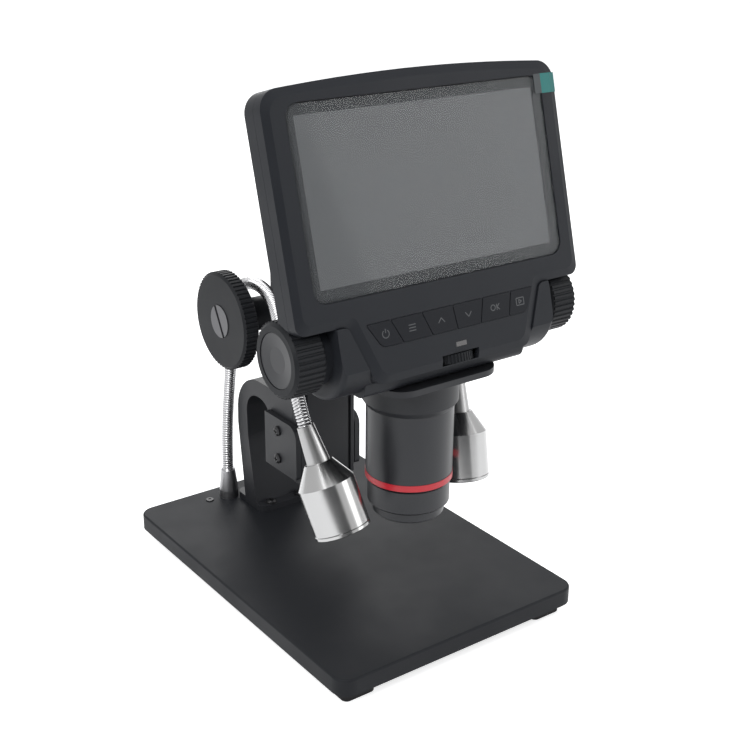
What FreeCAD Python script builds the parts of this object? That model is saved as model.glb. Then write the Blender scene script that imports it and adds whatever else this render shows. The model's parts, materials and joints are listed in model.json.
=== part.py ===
import FreeCAD, Part
import math
import os

# Desktop digital microscope with a tilted screen head, on a stand with two gooseneck lamps.
# Millimetres. +Z is up, +X is the user's right, and the user sits on the -Y side.
# The origin is the middle of the base, on the table.

os.makedirs("parts", exist_ok=True)
V = FreeCAD.Vector

# Base
BASE_W = 123.0
BASE_D = 171.3
BASE_T = 7.5
BASE_CORNER = 7.0
BASE_EDGE = 0.9
FOOT_H = 5.5
FOOT_SIDE = 15.0
FOOT_FLARE = 2.5
FOOT_INSET = 2.0
BASE_TOP = FOOT_H + BASE_T

# Arched bracket behind the post
POST_HALF = 14.4
POST_BACK = 36.5
BRACKET_TOP = 81.0
BRACKET_BACK = 69.0
BRACKET_LEG = 8.5
ARCH_TOP = 73.0
WEB_T = 3.0
CLAMP_LOW = 45.0
CLAMP_HIGH = 70.6
CHEEK_T = 2.6
FLANGE_T = 3.0

# Fixed post and the rail that slides on its face
SLIDE_GAP = 0.25
RAIL_FRONT = 13.5
RAIL_T = 6.5
RAIL_LOW = 42.0
RAIL_HIGH = 190.0
POST_HIGH = 184.0
POST_WALL = 3.0
TAIL_HALF = 7.5
TAIL_SPREAD = 1.4
TAIL_DEPTH = 2.2
GROOVE_W = 1.6
GROOVE_DEPTH = 1.0
GROOVE_X = 11.6

# Rack and pinion of the height drive
HEIGHT_MODULE = 1.0
HEIGHT_TEETH = 12
RACK_W = 8.0
RACK_BODY = 1.7
RACK_LOW = 48.0
RACK_TEETH = 32
DRIVE_Z = 123.3
SHAFT_R = 3.0
RUN_CLEAR = 0.05

# Height wheel
WHEEL_R = 20.9
WHEEL_T = 7.1
WHEEL_FACE_X = -46.1
WHEEL_RIDGES = 64
WHEEL_RIDGE = 0.45
WHEEL_HUB_R = 7.2
WHEEL_CAP_R = 7.0

# Head: its front face is a plane tilted back, through the middle of the picture
HEAD_TILT = 15.4
SCREEN_Y = -56.5
SCREEN_Z = 191.9
HEAD_HALF = 67.6
HEAD_SIDE_TOP = 39.9
HEAD_CROWN = 44.6
HEAD_CROWN_R = 790.0
HEAD_CORNER = 8.0
WING_LOW = -45.0
WING_CORNER = 4.0
PANEL_HALF_HIGH = 46.0
PANEL_HALF_LOW = 37.0
PANEL_LOW = -68.5
PANEL_CORNER = 5.0
BEVEL_W = 3.0
BEVEL_D = 1.2
FRONT_T = 6.0
SLAB_T = 12.0
SHELL_WALL = 2.0
SEAM = 0.1
BOARD_BACK = -9.3

# Screen
GLASS_LEFT = -58.3
GLASS_RIGHT = 59.2
GLASS_TOP = 34.5
GLASS_LOW = -35.1
GLASS_CORNER = 5.0
GLASS_T = 1.1
GLASS_GAP = 0.4
ACTIVE_W = 110.0
ACTIVE_H = 61.0
LCD_T = 3.2
FILM_T = 0.12
TAB_V0 = 27.6
TAB_V1 = 35.2
TAB_START = 56.0

# Buttons, left to right along the row
ROW_TOP = -45.9
ROW_LOW = -55.1
ROW_EDGES_TOP = (-39.2, -28.2, -13.8, 0.9, 15.8, 30.0, 41.6)
ROW_EDGES_LOW = (-33.4, -23.6, -10.0, 2.0, 13.4, 27.8, 37.2)
BUTTON_GAP = 0.3
BUTTON_CORNER = 0.5
BUTTON_END_CORNER = 4.0
BUTTON_PROUD = 0.25
BUTTON_FLANGE = 0.8
BUTTON_TRAVEL = 0.5
PRESS_GAP = 0.1

# Brightness wheel
DIAL_X = 2.0
DIAL_V = -66.0
DIAL_R = 10.0
DIAL_T = 3.4
DIAL_PROUD = 1.0
DIAL_RIDGES = 44
DIAL_GAP = 0.35
DIAL_AXLE = 1.5
MARK_X = 3.0
MARK_V = -60.9
MARK_W = 5.2
MARK_H = 1.9

# Lower housing of the head
HOUSING_HALF = 39.0
HOUSING_LOW = 118.0
HOUSING_BACK = -24.0
HOUSING_SHOULDER = 180.0
HOUSING_WALL = 2.2
BOSS_R = 19.5
BOSS_OUT = 51.2
BOSS_LIFT = 0.9
BOSS_BEHIND = 0.5
BOSS_EDGE = 2.0

# Focus drive
FOCUS_Y = -53.5
FOCUS_Z = 135.6
FOCUS_MODULE = 0.5
FOCUS_TEETH = 12
FOCUS_SHAFT_R = 2.0
NECK_R = 12.2
NECK_OUT = 54.6
KNOB_IN = 55.0
KNOB_OUT = 68.0
KNOB_R = 14.5
KNOB_RIDGES = 40
KNOB_RIDGE = 0.55
KNOB_CAP_R = 10.4
KNOB_DISH = 1.6
KNOB_WELL = KNOB_R + 0.5

# Lens tube, all on one upright axis
TUBE_Y = -45.45
COLLAR_R = 19.6
COLLAR_LOW = 103.0
COLLAR_TAPER = 2.4
TUBE_R = 17.9
TUBE_BORE = 14.6
RING_LOW = 68.6
RING_T = 2.7
RING_PROUD = 0.15
NOSE_R = 17.0
NOSE_LOW = 57.3
END_R = 14.8
END_LOW = 52.7
END_BORE = 10.5
FRONT_GLASS_T = 1.5
FLANGE_HALF_X = 27.0
FLANGE_FRONT = -71.0
FLANGE_REAR = -26.0
FLANGE_LOW = 115.5

# Moving lens barrel
BARREL_R = 11.0
BARREL_LOW = 78.0
BARREL_HIGH = 100.0
STEM_HALF = 3.6
STEM_HIGH = 149.0
FOCUS_TRAVEL = 6.0
LENS_R = 8.5

# Gooseneck lamps
HOSE_R = 2.8
HOSE_ROOT = 2.35
HOSE_BORE = 1.2
RIB_PITCH = 5.0
HOSE_SIDES = 12
SOCKET_X = 17.7
SOCKET_Y = 74.5
SOCKET_TOP = 28.0
SOCKET_R_LOW = 4.6
SOCKET_R_HIGH = 3.4
LAMP_R = 11.3
LAMP_CAP_R = 5.7
LAMP_CONE = 8.8
LAMP_LEN = 29.2
LAMP_WALL = 1.4
LAMP_BEZEL = 1.6
NECK_LEN = 15.0
NECK_END_R = 4.7
NECK_TOP_R = 3.4
BALL_GAP = 0.3
LAMP_LENS_T = 1.6
LAMP_BOARD_T = 1.4

# Where each lamp's pivot is, which way it points, and how its gooseneck gets there
LEFT_AIM = (0.137, -0.383, -0.913)
LEFT_PIVOT = (-46.8, -39.9, 99.9)
LEFT_ROUTE = [(-16.9, 74.2, 55.0), (-16.3, 70.8, 82.0), (-20.0, 60.5, 110.0), (-25.5, 43.0, 130.0),
              (-28.6, 24.0, 136.8), (-31.6, 8.0, 135.6), (-36.8, -6.0, 130.4), (-42.5, -22.0, 118.2),
              (-45.6, -33.2, 108.6)]
RIGHT_AIM = (-0.065, -0.23, -0.971)
RIGHT_PIVOT = (36.0, -31.2, 98.4)
RIGHT_ROUTE = [(16.9, 74.2, 55.0), (16.4, 70.8, 82.0), (20.0, 60.0, 110.0), (25.5, 42.0, 129.0),
               (29.4, 23.0, 134.6), (33.4, 7.0, 132.6), (37.6, -7.0, 125.6), (40.0, -18.0, 116.0),
               (38.8, -27.0, 106.6)]


# Drawing helpers

def rounded(points):
    """Closed wire in XY through (x, y, radius) corners."""
    n = len(points)
    ends = []
    for i in range(n):
        x, y, r = points[i]
        p = V(x, y, 0)
        a = V(points[i - 1][0], points[i - 1][1], 0) - p
        b = V(points[(i + 1) % n][0], points[(i + 1) % n][1], 0) - p
        a.normalize()
        b.normalize()
        if r <= 0:
            ends.append((p, None, p))
            continue
        half = a.getAngle(b) / 2
        reach = r / math.tan(half)
        middle = a + b
        middle.normalize()
        centre = p + middle * (r / math.sin(half))
        ends.append((p + a * reach, centre - middle * r, p + b * reach))
    edges = []
    for i in range(n):
        start, mid, stop = ends[i]
        if mid is not None:
            edges.append(Part.Arc(start, mid, stop).toShape())
        following = ends[(i + 1) % n][0]
        if (following - stop).Length > 1e-6:
            edges.append(Part.LineSegment(stop, following).toShape())
    return Part.Wire(edges)


def prism(points, low, high):
    """Solid with a rounded outline in XY, from z = low to high."""
    wire = rounded(points)
    wire.translate(V(0, 0, low))
    return Part.Face(wire).extrude(V(0, 0, high - low))


def side_prism(points, x_low, x_high):
    """Solid with a rounded outline in YZ, from x_low to x_high."""
    solid = prism(points, x_low, x_high)
    solid.rotate(V(0, 0, 0), V(1, 1, 1), 120)
    return solid


def box(x0, x1, y0, y1, z0, z1):
    return Part.makeBox(x1 - x0, y1 - y0, z1 - z0, V(x0, y0, z0))


def turned(points):
    """Solid turned about Z from a closed outline of (radius, height)."""
    wire = Part.makePolygon([V(r, 0, z) for r, z in points] + [V(points[0][0], 0, points[0][1])])
    return Part.Face(wire).revolve(V(0, 0, 0), V(0, 0, 1), 360)


def along_x(solid, y, z):
    """Turn a solid made along +Z to lie along +X at the given line."""
    solid.rotate(V(0, 0, 0), V(0, 1, 0), 90)
    solid.translate(V(0, y, z))
    return solid


def at(solid, x, y, z):
    solid.translate(V(x, y, z))
    return solid


def tilted(solid):
    """Move a solid from the face's own frame to its place: x right, y up the face, z out of it."""
    turn = FreeCAD.Rotation(V(1, 0, 0), 90 - HEAD_TILT)
    solid.Placement = FreeCAD.Placement(V(0, SCREEN_Y, SCREEN_Z), turn).multiply(solid.Placement)
    return solid


def aimed(solid, pivot, aim):
    """Move a solid made along +Z so that it starts at the pivot and runs along the aim."""
    turn = FreeCAD.Rotation(V(0, 0, 1), V(*aim))
    solid.Placement = FreeCAD.Placement(V(*pivot), turn).multiply(solid.Placement)
    return solid


def face_point(v, w):
    """World (y, z) of a point v up the face and w out of it."""
    c = math.cos(math.radians(HEAD_TILT))
    s = math.sin(math.radians(HEAD_TILT))
    return SCREEN_Y + v * s - w * c, SCREEN_Z + v * c + w * s


def rectangle(x0, x1, y0, y1, r):
    return [(x0, y0, r), (x1, y0, r), (x1, y1, r), (x0, y1, r)]


def ridged(radius, depth, count, low, high):
    """Knurled disc about Z: a ring of straight ridges."""
    corners = []
    for i in range(count):
        for share, r in ((0.0, radius), (0.45, radius), (0.6, radius - depth), (0.85, radius - depth)):
            angle = 2 * math.pi * (i + share) / count
            corners.append(V(r * math.cos(angle), r * math.sin(angle), low))
    return Part.Face(Part.makePolygon(corners + corners[:1])).extrude(V(0, 0, high - low))


def involute_pinion(module, teeth, width, bore):
    """Pinion about Z, centred on z = 0, with a tooth gap facing -Y."""
    pitch_r = module * teeth / 2
    base_r = pitch_r * math.cos(math.radians(20))
    tip_r = pitch_r + 0.7 * module
    root_r = pitch_r - 1.0 * module
    half = (math.pi / 2 - 0.14) / teeth

    def swing(r):
        if r <= base_r:
            return 0.0
        a = math.acos(base_r / r)
        return math.tan(a) - a

    flank = [root_r, base_r, (base_r + pitch_r) / 2, pitch_r, (pitch_r + tip_r) / 2, tip_r]
    corners = []
    for i in range(teeth):
        middle = 2 * math.pi * (i + 0.5) / teeth - math.pi / 2
        for r in flank:
            angle = middle - half + swing(r) - swing(pitch_r)
            corners.append(V(r * math.cos(angle), r * math.sin(angle), -width / 2))
        for r in reversed(flank):
            angle = middle + half - swing(r) + swing(pitch_r)
            corners.append(V(r * math.cos(angle), r * math.sin(angle), -width / 2))
    gear = Part.Face(Part.makePolygon(corners + corners[:1])).extrude(V(0, 0, width))
    return gear.cut(Part.makeCylinder(bore, width, V(0, 0, -width / 2)))


def toothed_rack(module, teeth, width, body, pitch_y, first_z):
    """Rack along +Z whose teeth point to +Y, with the pitch line at pitch_y and a tooth at first_z."""
    pitch = math.pi * module
    lean = math.tan(math.radians(20))
    half = pitch / 4 - 0.07 * module
    tip = 0.7 * module
    root = 1.0 * module
    corners = [V(-width / 2, pitch_y - root - body, first_z - pitch / 2)]
    corners.append(V(-width / 2, pitch_y - root, first_z - pitch / 2))
    for i in range(teeth):
        z = first_z + i * pitch
        corners.append(V(-width / 2, pitch_y - root, z - half - root * lean))
        corners.append(V(-width / 2, pitch_y + tip, z - half + tip * lean))
        corners.append(V(-width / 2, pitch_y + tip, z + half - tip * lean))
        corners.append(V(-width / 2, pitch_y - root, z + half + root * lean))
    last = first_z + (teeth - 0.5) * pitch
    corners.append(V(-width / 2, pitch_y - root, last))
    corners.append(V(-width / 2, pitch_y - root - body, last))
    return Part.Face(Part.makePolygon(corners + corners[:1])).extrude(V(width, 0, 0))


def screw_head(radius, height, x, y, z, axis):
    """Domed screw head with a cross recess, standing on the given point."""
    head = Part.makeCylinder(radius, height * 0.55)
    dome = Part.makeCone(radius, radius * 0.62, height * 0.45, V(0, 0, height * 0.55))
    arm = radius * 0.55
    slot = radius * 0.14
    cross = box(-arm, arm, -slot, slot, height * 0.5, height + 1)
    cross = cross.fuse(box(-slot, slot, -arm, arm, height * 0.5, height + 1))
    solid = head.fuse(dome).cut(cross)
    turn = FreeCAD.Rotation(V(0, 0, 1), V(*axis))
    solid.Placement = FreeCAD.Placement(V(x, y, z), turn)
    return solid


def export(name, shape):
    shape.exportStep("parts/" + name + ".step")


# Stand

def base_plate():
    half_w = BASE_W / 2
    half_d = BASE_D / 2
    outline = rectangle(-half_w, half_w, -half_d, half_d, BASE_CORNER)
    plate = prism(outline, FOOT_H, BASE_TOP)
    rim = [edge for edge in plate.Edges if abs(edge.CenterOfMass.z - BASE_TOP) < 0.01]
    plate = plate.makeFillet(BASE_EDGE, rim)
    inlet = box(INLET_X - INLET_W / 2, INLET_X + INLET_W / 2, half_d - INLET_DEPTH, half_d + 1,
                INLET_Z - INLET_H / 2, INLET_Z + INLET_H / 2)
    return plate.cut(inlet)


def foot(cx, cy):
    """One moulded foot with flared sides."""
    rings = []
    for share, grow in ((0.0, 0.0), (0.35, 0.25), (0.7, 0.9), (1.0, FOOT_FLARE)):
        side = FOOT_SIDE / 2 + grow
        wire = rounded(rectangle(-side, side, -side, side, 2.5 + grow))
        wire.translate(V(cx, cy, FOOT_H * share))
        rings.append(wire)
    return Part.makeLoft(rings, True, True)


def rubber_feet():
    x = BASE_W / 2 - FOOT_INSET - FOOT_FLARE - FOOT_SIDE / 2
    y = BASE_D / 2 - FOOT_INSET - FOOT_FLARE - FOOT_SIDE / 2
    return Part.makeCompound([foot(sx * x, sy * y) for sx in (-1, 1) for sy in (-1, 1)])


INLET_X = 0.0
INLET_W = 9.0
INLET_H = 5.4
INLET_DEPTH = 9.0
INLET_Z = FOOT_H + BASE_T / 2 - 0.4
INLET_PIN_R = 0.8


def power_inlet():
    """Low voltage socket for the lamps, flush in the back edge of the base."""
    back = BASE_D / 2
    body = box(INLET_X - INLET_W / 2, INLET_X + INLET_W / 2, back - INLET_DEPTH, back - 0.3,
               INLET_Z - INLET_H / 2, INLET_Z + INLET_H / 2)
    mouth = Part.makeCylinder(2.1, 7.0, V(INLET_X, back + 0.5, INLET_Z), V(0, -1, 0))
    pin = Part.makeCylinder(INLET_PIN_R, 7.4, V(INLET_X, back - 8.0, INLET_Z), V(0, 1, 0))
    return body.cut(mouth).fuse(pin)


def bracket():
    """Arched casting: a leg at the back, an arch over, and a web that carries the post."""
    leg_foot = BRACKET_BACK - BRACKET_LEG
    outline = [(POST_BACK, BRACKET_TOP, 0), (BRACKET_BACK - 1, BRACKET_TOP, 20), (BRACKET_BACK, 54, 6),
               (leg_foot + 3.5, BASE_TOP, 0), (leg_foot - 7, BASE_TOP, 0), (leg_foot - 0.5, 50, 6),
               (leg_foot, ARCH_TOP, 10), (POST_BACK + WEB_T, ARCH_TOP, 9), (POST_BACK + WEB_T, CLAMP_LOW, 0),
               (POST_BACK, CLAMP_LOW, 0)]
    arch = side_prism(outline, -POST_HALF, POST_HALF)
    flange = prism(rectangle(-POST_HALF, POST_HALF, leg_foot - 12, BRACKET_BACK + 4, 4), BASE_TOP,
                   BASE_TOP + FLANGE_T)
    return arch.fuse(flange).removeSplitter()


def stand_screws():
    """Screws through the bracket's foot and the clamp cheeks."""
    y = BRACKET_BACK - BRACKET_LEG - 9.5
    z = BASE_TOP + FLANGE_T
    heads = [screw_head(2.4, 1.6, side * 8, y, z, (0, 0, 1)) for side in (-1, 1)]
    x = POST_HALF + SLIDE_GAP + CHEEK_T
    middle = (POST_FRONT + POST_BACK) / 2
    for side in (-1, 1):
        for z in (CLAMP_LOW + 6, CLAMP_HIGH - 6):
            heads.append(screw_head(2.3, 1.5, side * x, middle, z, (side, 0, 0)))
    return Part.makeCompound(heads)


def clamp_cheeks():
    """Two plates screwed to the post's sides, which also guide the rail's edges."""
    cheeks = []
    for side in (-1, 1):
        inner = POST_HALF + SLIDE_GAP
        plate = side_prism([(RAIL_FRONT, CLAMP_LOW, 2), (POST_BACK + WEB_T, CLAMP_LOW, 0),
                            (POST_BACK + WEB_T, CLAMP_HIGH, 0), (RAIL_FRONT, CLAMP_HIGH, 6)],
                           inner, inner + CHEEK_T)
        pad = side_prism([(POST_FRONT, CLAMP_LOW + 1, 0), (POST_BACK, CLAMP_LOW + 1, 0),
                          (POST_BACK, CLAMP_HIGH - 1, 0), (POST_FRONT, CLAMP_HIGH - 1, 0)],
                         POST_HALF, inner)
        cheek = plate.fuse(pad)
        if side < 0:
            cheek = cheek.mirror(V(0, 0, 0), V(1, 0, 0))
        cheeks.append(cheek)
    return Part.makeCompound(cheeks)


POST_FRONT = RAIL_FRONT + RAIL_T + SLIDE_GAP
PITCH_Y = RAIL_FRONT + RAIL_T - 0.3
DRIVE_Y = PITCH_Y + HEIGHT_MODULE * HEIGHT_TEETH / 2
POST_ROOM = POST_BACK - POST_WALL


def guide_post():
    """Fixed channel with a dovetail mouth in front and room for the pinion inside."""
    post = box(-POST_HALF, POST_HALF, POST_FRONT, POST_BACK, CLAMP_LOW, POST_HIGH)
    mouth = TAIL_HALF + 2 * SLIDE_GAP
    floor_y = POST_FRONT + TAIL_DEPTH + SLIDE_GAP
    wide = mouth + TAIL_SPREAD * (TAIL_DEPTH + SLIDE_GAP) / TAIL_DEPTH
    room = wide + 1.0
    outline = [(-mouth, POST_FRONT - 1, 0), (mouth, POST_FRONT - 1, 0), (mouth, POST_FRONT, 0), (wide, floor_y, 0),
               (room, floor_y, 0), (room, POST_ROOM, 1.5), (-room, POST_ROOM, 1.5), (-room, floor_y, 0),
               (-wide, floor_y, 0), (-mouth, POST_FRONT, 0)]
    post = post.cut(prism(outline, CLAMP_LOW - 1, POST_HIGH + 1))
    bore = along_x(Part.makeCylinder(SHAFT_R + RUN_CLEAR, 2 * POST_HALF + 2, V(0, 0, -POST_HALF - 1)),
                   DRIVE_Y, DRIVE_Z)
    return post.cut(bore)


def post_cap():
    """Moulded cap on the post's open top."""
    cap = prism(rectangle(-POST_HALF, POST_HALF, POST_FRONT, POST_BACK, 1), POST_HIGH, POST_HIGH + 2.0)
    relief = box(-TAIL_HALF - 2.0, TAIL_HALF + 2.0, POST_FRONT - 1, POST_FRONT + TAIL_DEPTH + 1.2,
                 POST_HIGH - 1, POST_HIGH + 3)
    return cap.cut(relief)


# Height wheel and its pinion

def height_wheel():
    back = WHEEL_T
    body = ridged(WHEEL_R, WHEEL_RIDGE, WHEEL_RIDGES, 0.8, back - 0.8)
    front = Part.makeCone(WHEEL_R - 1.3, WHEEL_R - 0.5, 0.8)
    rear = Part.makeCone(WHEEL_R - 0.5, WHEEL_R - 1.3, 0.8, V(0, 0, back - 0.8))
    hub_len = -WHEEL_FACE_X - POST_HALF - SLIDE_GAP - 0.1
    hub = Part.makeCylinder(WHEEL_HUB_R, hub_len - back + 0.5, V(0, 0, back - 0.5))
    wheel = body.fuse(front).fuse(rear).fuse(hub)
    seat = Part.makeCylinder(WHEEL_CAP_R + 0.1, 1.6, V(0, 0, -0.4))
    bore = Part.makeCylinder(SHAFT_R, hub_len + 1)
    wheel = wheel.cut(seat).cut(bore).removeSplitter()
    return at(along_x(wheel, DRIVE_Y, DRIVE_Z), WHEEL_FACE_X, 0, 0)


def wheel_cap():
    """Slotted cap screw that holds the wheel on its shaft."""
    disc = Part.makeCylinder(WHEEL_CAP_R, 1.5, V(0, 0, -0.3))
    slot = box(-0.8, 0.8, -WHEEL_CAP_R - 1, WHEEL_CAP_R + 1, -0.4, 0.4)
    slot.rotate(V(0, 0, 0), V(0, 0, 1), 62)
    return at(along_x(disc.cut(slot), DRIVE_Y, DRIVE_Z), WHEEL_FACE_X, 0, 0)


def height_shaft():
    start = WHEEL_FACE_X + 1.2
    shaft = Part.makeCylinder(SHAFT_R, POST_HALF + 1.0 - start)
    clip = Part.makeCylinder(SHAFT_R + 1.6, 0.8, V(0, 0, POST_HALF + 0.2 - start))
    shaft = at(along_x(shaft.fuse(clip), 0, 0), start, 0, 0)
    gear = along_x(involute_pinion(HEIGHT_MODULE, HEIGHT_TEETH, RACK_W - 0.4, SHAFT_R - 0.5), 0, 0)
    return at(shaft.fuse(gear), 0, DRIVE_Y, DRIVE_Z)


# Rail, rack and arm, which rise with the head

def slide_rail():
    back = RAIL_FRONT + RAIL_T
    slot = RACK_W / 2 + 0.3
    tail = TAIL_HALF + TAIL_SPREAD
    seat = PITCH_Y - HEIGHT_MODULE - RACK_BODY
    outline = [(-POST_HALF, RAIL_FRONT, 0.6), (POST_HALF, RAIL_FRONT, 0.6), (POST_HALF, back, 0), (TAIL_HALF, back, 0),
               (tail, back + TAIL_DEPTH, 0), (slot, back + TAIL_DEPTH, 0), (slot, seat, 0), (-slot, seat, 0),
               (-slot, back + TAIL_DEPTH, 0), (-tail, back + TAIL_DEPTH, 0), (-TAIL_HALF, back, 0),
               (-POST_HALF, back, 0)]
    rail = prism(outline, RAIL_LOW, RAIL_HIGH)
    for side in (-1, 1):
        x = side * GROOVE_X
        groove = box(x - GROOVE_W / 2, x + GROOVE_W / 2, RAIL_FRONT - 1, RAIL_FRONT + GROOVE_DEPTH,
                     RAIL_LOW - 1, RAIL_HIGH + 1)
        rail = rail.cut(groove)
    return rail


def height_rack():
    pitch = math.pi * HEIGHT_MODULE
    steps = math.floor((DRIVE_Z - RACK_LOW) / pitch)
    first = DRIVE_Z - steps * pitch
    return toothed_rack(HEIGHT_MODULE, RACK_TEETH, RACK_W, RACK_BODY, PITCH_Y, first)


ARM_HALF = 13.0
ARM_LOW = 121.0
ARM_HIGH = 172.0


def head_arm():
    """Cast arm from the rail's face to the back of the head."""
    outline = [(RAIL_FRONT, ARM_LOW, 0), (RAIL_FRONT, ARM_HIGH, 0), (HOUSING_BACK, ARM_HIGH - 8, 0),
               (HOUSING_BACK, ARM_LOW + 6, 0)]
    arm = side_prism(outline, -ARM_HALF, ARM_HALF)
    pocket = side_prism([(RAIL_FRONT - 5, ARM_LOW + 8, 4), (RAIL_FRONT - 5, ARM_HIGH - 8, 4),
                         (HOUSING_BACK + 5, ARM_HIGH - 14, 4), (HOUSING_BACK + 5, ARM_LOW + 13, 4)],
                        ARM_HALF - 4, ARM_HALF + 1)
    return arm.cut(pocket).cut(pocket.mirror(V(0, 0, 0), V(1, 0, 0)))


# Head shells

def head_outline(inset):
    """Corners of the front shell's outline, drawn in by the inset."""
    half = HEAD_HALF - inset
    wing = WING_LOW + inset
    low = PANEL_LOW + inset
    corner = HEAD_CORNER - inset * 0.7
    return [(-half, HEAD_SIDE_TOP - inset, corner), (0, HEAD_CROWN - inset, HEAD_CROWN_R),
            (half, HEAD_SIDE_TOP - inset, corner), (half, wing, WING_CORNER), (PANEL_HALF_HIGH - inset, wing, 3),
            (PANEL_HALF_LOW - inset, low, PANEL_CORNER), (inset - PANEL_HALF_LOW, low, PANEL_CORNER),
            (inset - PANEL_HALF_HIGH, wing, 3), (-half, wing, WING_CORNER)]


def slab_outline(inset):
    """The wide part alone, behind the front shell."""
    half = HEAD_HALF - inset
    wing = WING_LOW + inset
    corner = HEAD_CORNER - inset * 0.7
    return [(-half, HEAD_SIDE_TOP - inset, corner), (0, HEAD_CROWN - inset, HEAD_CROWN_R),
            (half, HEAD_SIDE_TOP - inset, corner), (half, wing, WING_CORNER), (-half, wing, WING_CORNER)]


def glass_outline(grow):
    return rectangle(GLASS_LEFT - grow, GLASS_RIGHT + grow, GLASS_LOW - grow, GLASS_TOP + grow,
                     GLASS_CORNER + grow)


def button_outline(index, grow):
    """Corners of one button, with the outer lower corner of the end ones well rounded."""
    left_low = BUTTON_END_CORNER if index == 0 else BUTTON_CORNER
    last = len(ROW_EDGES_TOP) - 2
    right_low = BUTTON_END_CORNER if index == last else BUTTON_CORNER
    gap = BUTTON_GAP - grow
    return [(ROW_EDGES_LOW[index] + gap, ROW_LOW - grow, left_low),
            (ROW_EDGES_LOW[index + 1] - gap, ROW_LOW - grow, right_low),
            (ROW_EDGES_TOP[index + 1] - gap, ROW_TOP + grow, BUTTON_CORNER),
            (ROW_EDGES_TOP[index] + gap, ROW_TOP + grow, BUTTON_CORNER)]


BUTTONS = len(ROW_EDGES_TOP) - 1
BOARD_HALF = HOUSING_HALF - HOUSING_WALL - 0.3
SWITCH_TOP = -FRONT_T - BUTTON_TRAVEL - PRESS_GAP
SKIN_BACK = -FRONT_T + 3.4
DIAL_W = DIAL_PROUD - DIAL_R


def knob_space(radius):
    """Round space about both focus knobs, to scoop the slab's lower corners."""
    start = NECK_OUT - (radius - KNOB_WELL)
    one = along_x(Part.makeCylinder(radius, 80 - start, V(0, 0, start)), FOCUS_Y, FOCUS_Z)
    return Part.makeCompound([one, one.mirror(V(0, 0, 0), V(1, 0, 0))])


def front_shell():
    wide = rounded(head_outline(0))
    wide.translate(V(0, 0, -BEVEL_D))
    bevel = Part.makeLoft([wide, rounded(head_outline(BEVEL_W))], True, True)
    shell = prism(head_outline(0), -FRONT_T, -BEVEL_D).fuse(bevel)
    shell = shell.cut(prism(head_outline(SHELL_WALL), -FRONT_T - 1, SKIN_BACK))
    shell = shell.cut(prism(glass_outline(GLASS_GAP), -GLASS_T, 1))
    half_w = ACTIVE_W / 2 + 1
    half_h = ACTIVE_H / 2 + 1
    shell = shell.cut(prism(rectangle(-half_w, half_w, -half_h, half_h, 1), -FRONT_T - 1, 1))
    for index in range(BUTTONS):
        shell = shell.cut(prism(button_outline(index, 0.15), -FRONT_T, 1))
    slot = box(DIAL_X - 8.9, DIAL_X + 8.9, DIAL_V - DIAL_T / 2 - DIAL_GAP, DIAL_V + DIAL_T / 2 + DIAL_GAP,
               -FRONT_T - 1, 1)
    shell = shell.cut(slot)
    ring = Part.makeCylinder(DIAL_R + DIAL_GAP, DIAL_T + 2 * DIAL_GAP,
                             V(DIAL_X, DIAL_V - DIAL_T / 2 - DIAL_GAP, DIAL_W), V(0, 1, 0))
    shell = shell.cut(ring)
    mark = box(MARK_X - MARK_W / 2, MARK_X + MARK_W / 2, MARK_V - MARK_H / 2, MARK_V + MARK_H / 2, -0.6, 1)
    shell = shell.cut(mark)
    for x in (-20.0, 20.0):
        post = Part.makeCylinder(1.4, SKIN_BACK - SWITCH_TOP + 1.0, V(x, ROW_LOW - 2.7, SWITCH_TOP - 1.0))
        shell = shell.fuse(post)
    low = DIAL_V + DIAL_T / 2 + DIAL_GAP
    bearing = box(DIAL_X - 4, DIAL_X + 4, low, low + 1.8, DIAL_W - 3, SKIN_BACK)
    hole = Part.makeCylinder(DIAL_AXLE + RUN_CLEAR, 4, V(DIAL_X, low - 1, DIAL_W), V(0, 1, 0))
    return tilted(shell.fuse(bearing.cut(hole))).cut(knob_space(KNOB_WELL))


def indicator_window():
    g = 0.05
    pane = box(MARK_X - MARK_W / 2 + g, MARK_X + MARK_W / 2 - g, MARK_V - MARK_H / 2 + g,
               MARK_V + MARK_H / 2 - g, -0.6, -0.1)
    return tilted(pane)


def housing_outline(inset):
    """Side view (y, z) of the lower housing, drawn in by the inset."""
    front = -FRONT_T - SEAM
    low_y, low_z = face_point(PANEL_LOW + 2 * inset, front)
    high_y, high_z = face_point(24.0 - 2 * inset, front)
    return [(low_y, low_z, 0), (low_y + 1.5, HOUSING_LOW + inset, 4), (HOUSING_BACK - inset, HOUSING_LOW + inset, 7),
            (HOUSING_BACK - inset, HOUSING_SHOULDER, 12), (high_y + 9 - inset, high_z, 6), (high_y, high_z, 0)]


def boss(side):
    """Round shoulder of the housing that carries a focus knob."""
    centre_z = FOCUS_Z + BOSS_LIFT
    solid = Part.makeCylinder(BOSS_R, BOSS_OUT - HOUSING_HALF + 4, V(0, 0, HOUSING_HALF - 4))
    rim = [edge for edge in solid.Edges if abs(edge.CenterOfMass.z - BOSS_OUT) < 0.01 and edge.Closed]
    solid = solid.makeFillet(BOSS_EDGE, rim[:1])
    neck = Part.makeCylinder(NECK_R, NECK_OUT - BOSS_OUT + 1, V(0, 0, BOSS_OUT - 1))
    solid = along_x(solid, FOCUS_Y, centre_z)
    neck = along_x(neck, FOCUS_Y, FOCUS_Z)
    face = tilted(box(-90, 90, -110, 60, -BOSS_BEHIND, 60))
    solid = solid.cut(face).fuse(neck)
    if side < 0:
        solid = solid.mirror(V(0, 0, 0), V(1, 0, 0))
    return solid


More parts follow.
